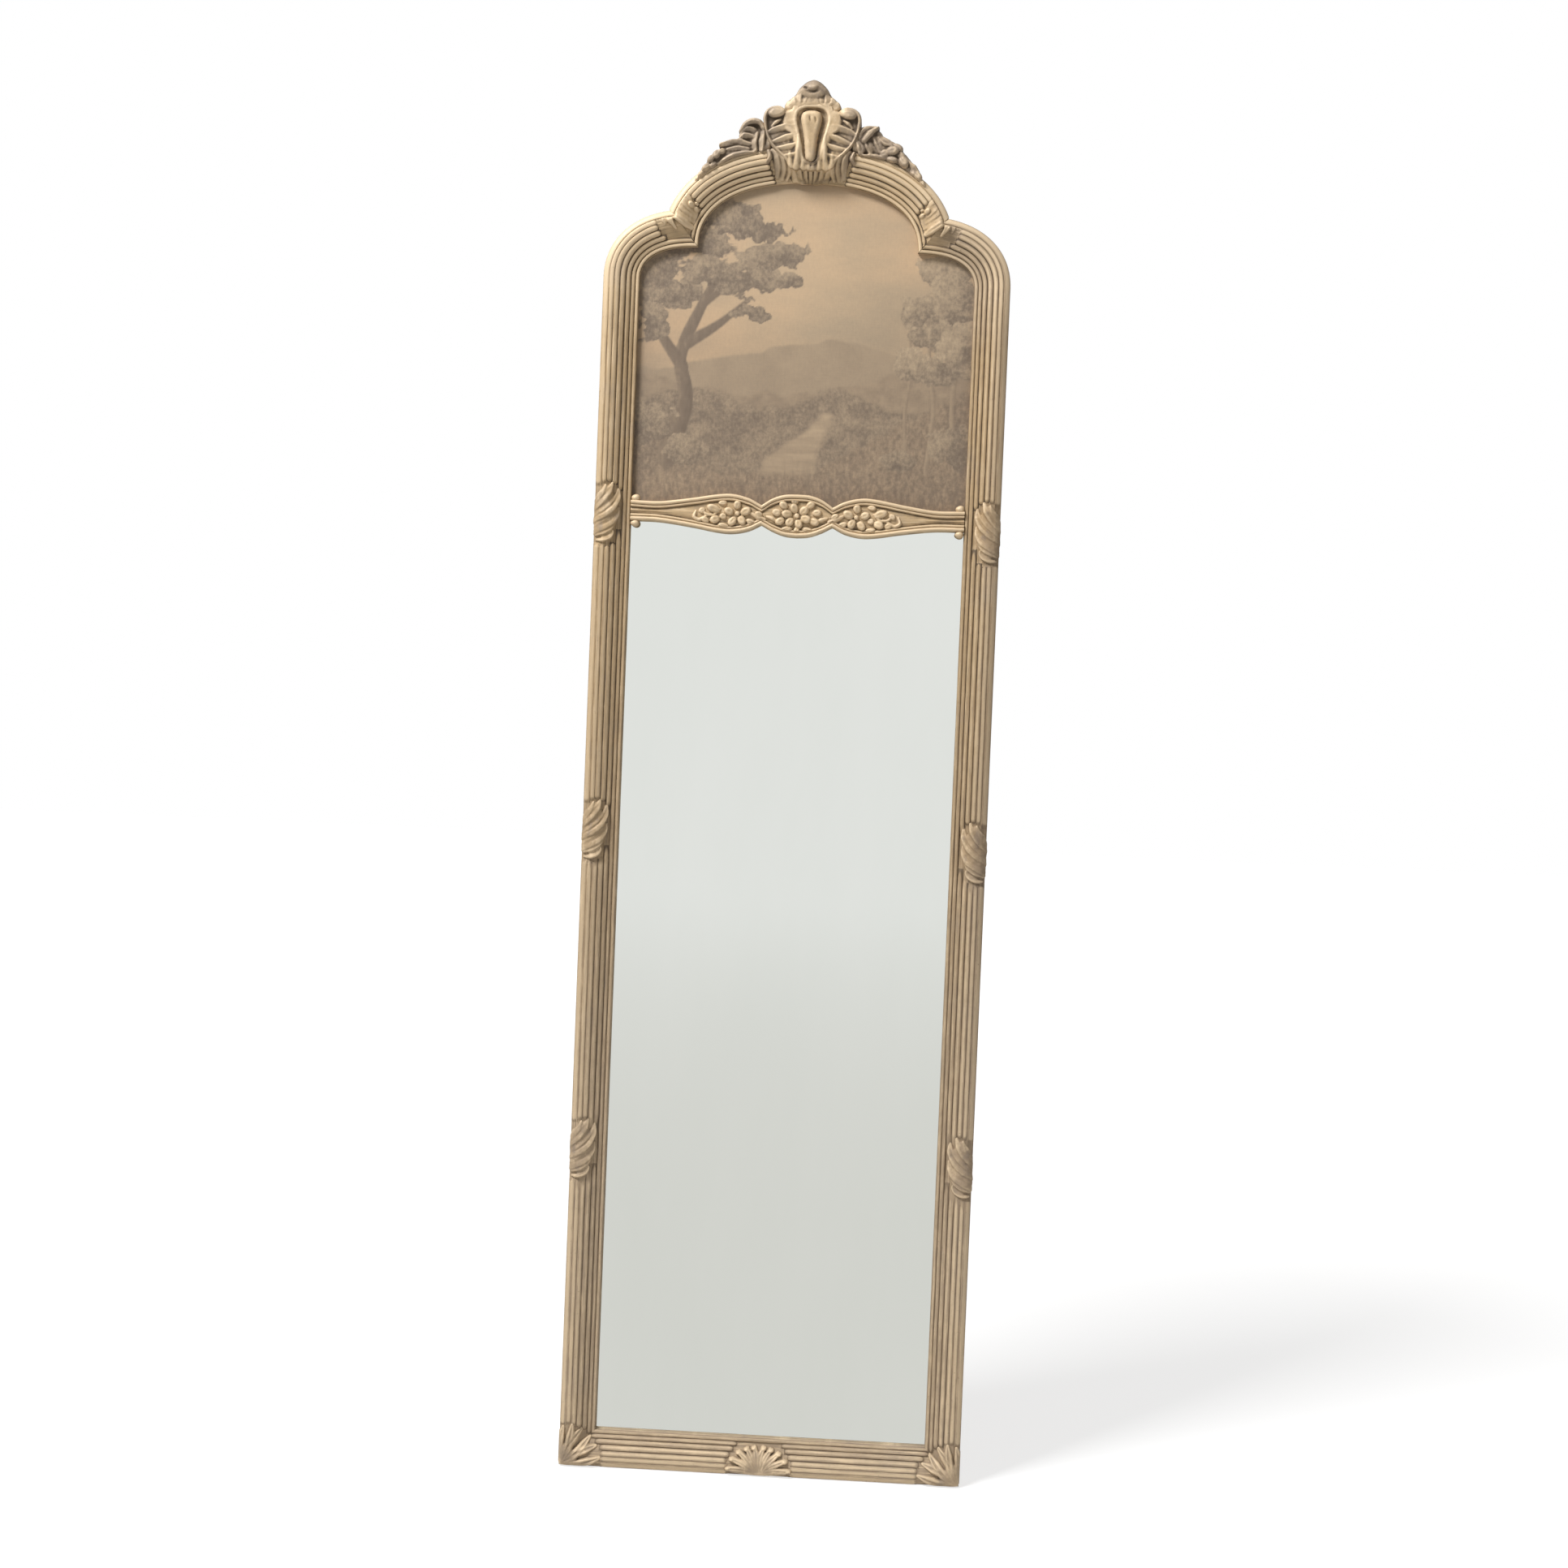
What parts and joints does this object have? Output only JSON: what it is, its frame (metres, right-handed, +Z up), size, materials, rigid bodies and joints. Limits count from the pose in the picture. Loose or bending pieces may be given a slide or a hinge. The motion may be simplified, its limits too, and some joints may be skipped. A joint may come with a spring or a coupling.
{
  "type": "trumeau mirror",
  "caption": "Tall wall mirror in a reeded gilt frame with rounded shoulders, an arched top and a carved crest; a painted panel above the cross rail, mirror glass below.",
  "frame": {"origin": "middle of the flat underside of the bottom rail", "axes": "+X to the right seen from the front, +Y towards the wall, +Z up; the front faces -Y"},
  "size_m": [0.504, 0.0522, 1.7242],
  "materials": {
    "gilt": "worn gold leaf and bronze paint over gesso on wood, darker in the grooves",
    "gilt_carving": "worn gold over gesso carving, dark in the hollows",
    "silvered_glass": "clear flat glass silvered at the back",
    "painted_canvas": "aged sepia oil landscape on canvas over a panel",
    "board": "plain softwood board, unfinished",
    "dowel_wood": "pale hardwood dowel",
    "steel": "plain steel",
    "brass": "dull brass-plated strap and ring"
  },
  "bodies": {
    "frame": {"right_stile": "gilt", "left_stile": "gilt", "bottom_rail": "gilt", "right_shoulder": "gilt", "left_shoulder": "gilt", "right_arch": "gilt", "left_arch": "gilt", "middle_rail": "gilt", "right_upper_ribbon": "gilt_carving", "left_upper_ribbon": "gilt_carving", "right_middle_ribbon": "gilt_carving", "left_middle_ribbon": "gilt_carving", "right_lower_ribbon": "gilt_carving", "left_lower_ribbon": "gilt_carving", "right_corner_leaf": "gilt_carving", "left_corner_leaf": "gilt_carving", "right_cusp_leaf": "gilt_carving", "left_cusp_leaf": "gilt_carving", "bottom_palmette": "gilt_carving", "rail_right_flower": "gilt_carving", "rail_left_flower": "gilt_carving", "rail_posy": "gilt_carving", "crest_cartouche": "gilt_carving", "crest_boss": "gilt_carving", "crest_top_leaf": "gilt_carving", "crest_collar": "gilt_carving", "crest_right_spray": "gilt_carving", "crest_left_spray": "gilt_carving", "mirror_plate": "silvered_glass", "picture_panel": "painted_canvas", "mirror_backboard": "board", "picture_backboard": "board", "right_bottom_dowel": "dowel_wood", "left_bottom_dowel": "dowel_wood", "right_shoulder_dowel": "dowel_wood", "left_shoulder_dowel": "dowel_wood", "right_cusp_dowel": "dowel_wood", "left_cusp_dowel": "dowel_wood", "right_crest_dowel": "dowel_wood", "left_crest_dowel": "dowel_wood", "arch_dowel": "dowel_wood", "right_mirror_pin_1": "steel", "left_mirror_pin_1": "steel", "right_mirror_pin_2": "steel", "left_mirror_pin_2": "steel", "right_picture_pin_1": "steel", "left_picture_pin_1": "steel", "right_picture_pin_2": "steel", "left_picture_pin_2": "steel", "right_hanger_screw_1": "steel", "left_hanger_screw_1": "steel", "right_hanger_screw_2": "steel", "left_hanger_screw_2": "steel", "right_hanger_strap": "brass", "left_hanger_strap": "brass"},
    "right_ring": {"right_hanger_ring": "brass"},
    "left_ring": {"left_hanger_ring": "brass"}
  },
  "joints": [
    {"name": "right_ring_hinge", "type": "hinge", "parent": "frame", "child": "right_ring", "pos_m": [0.226, 0.0173, 1.405], "axis": [1, 0, 0], "range_deg": [0, 180]},
    {"name": "left_ring_hinge", "type": "hinge", "parent": "frame", "child": "left_ring", "pos_m": [-0.226, 0.0173, 1.405], "axis": [1, 0, 0], "range_deg": [0, 180]}
  ]
}
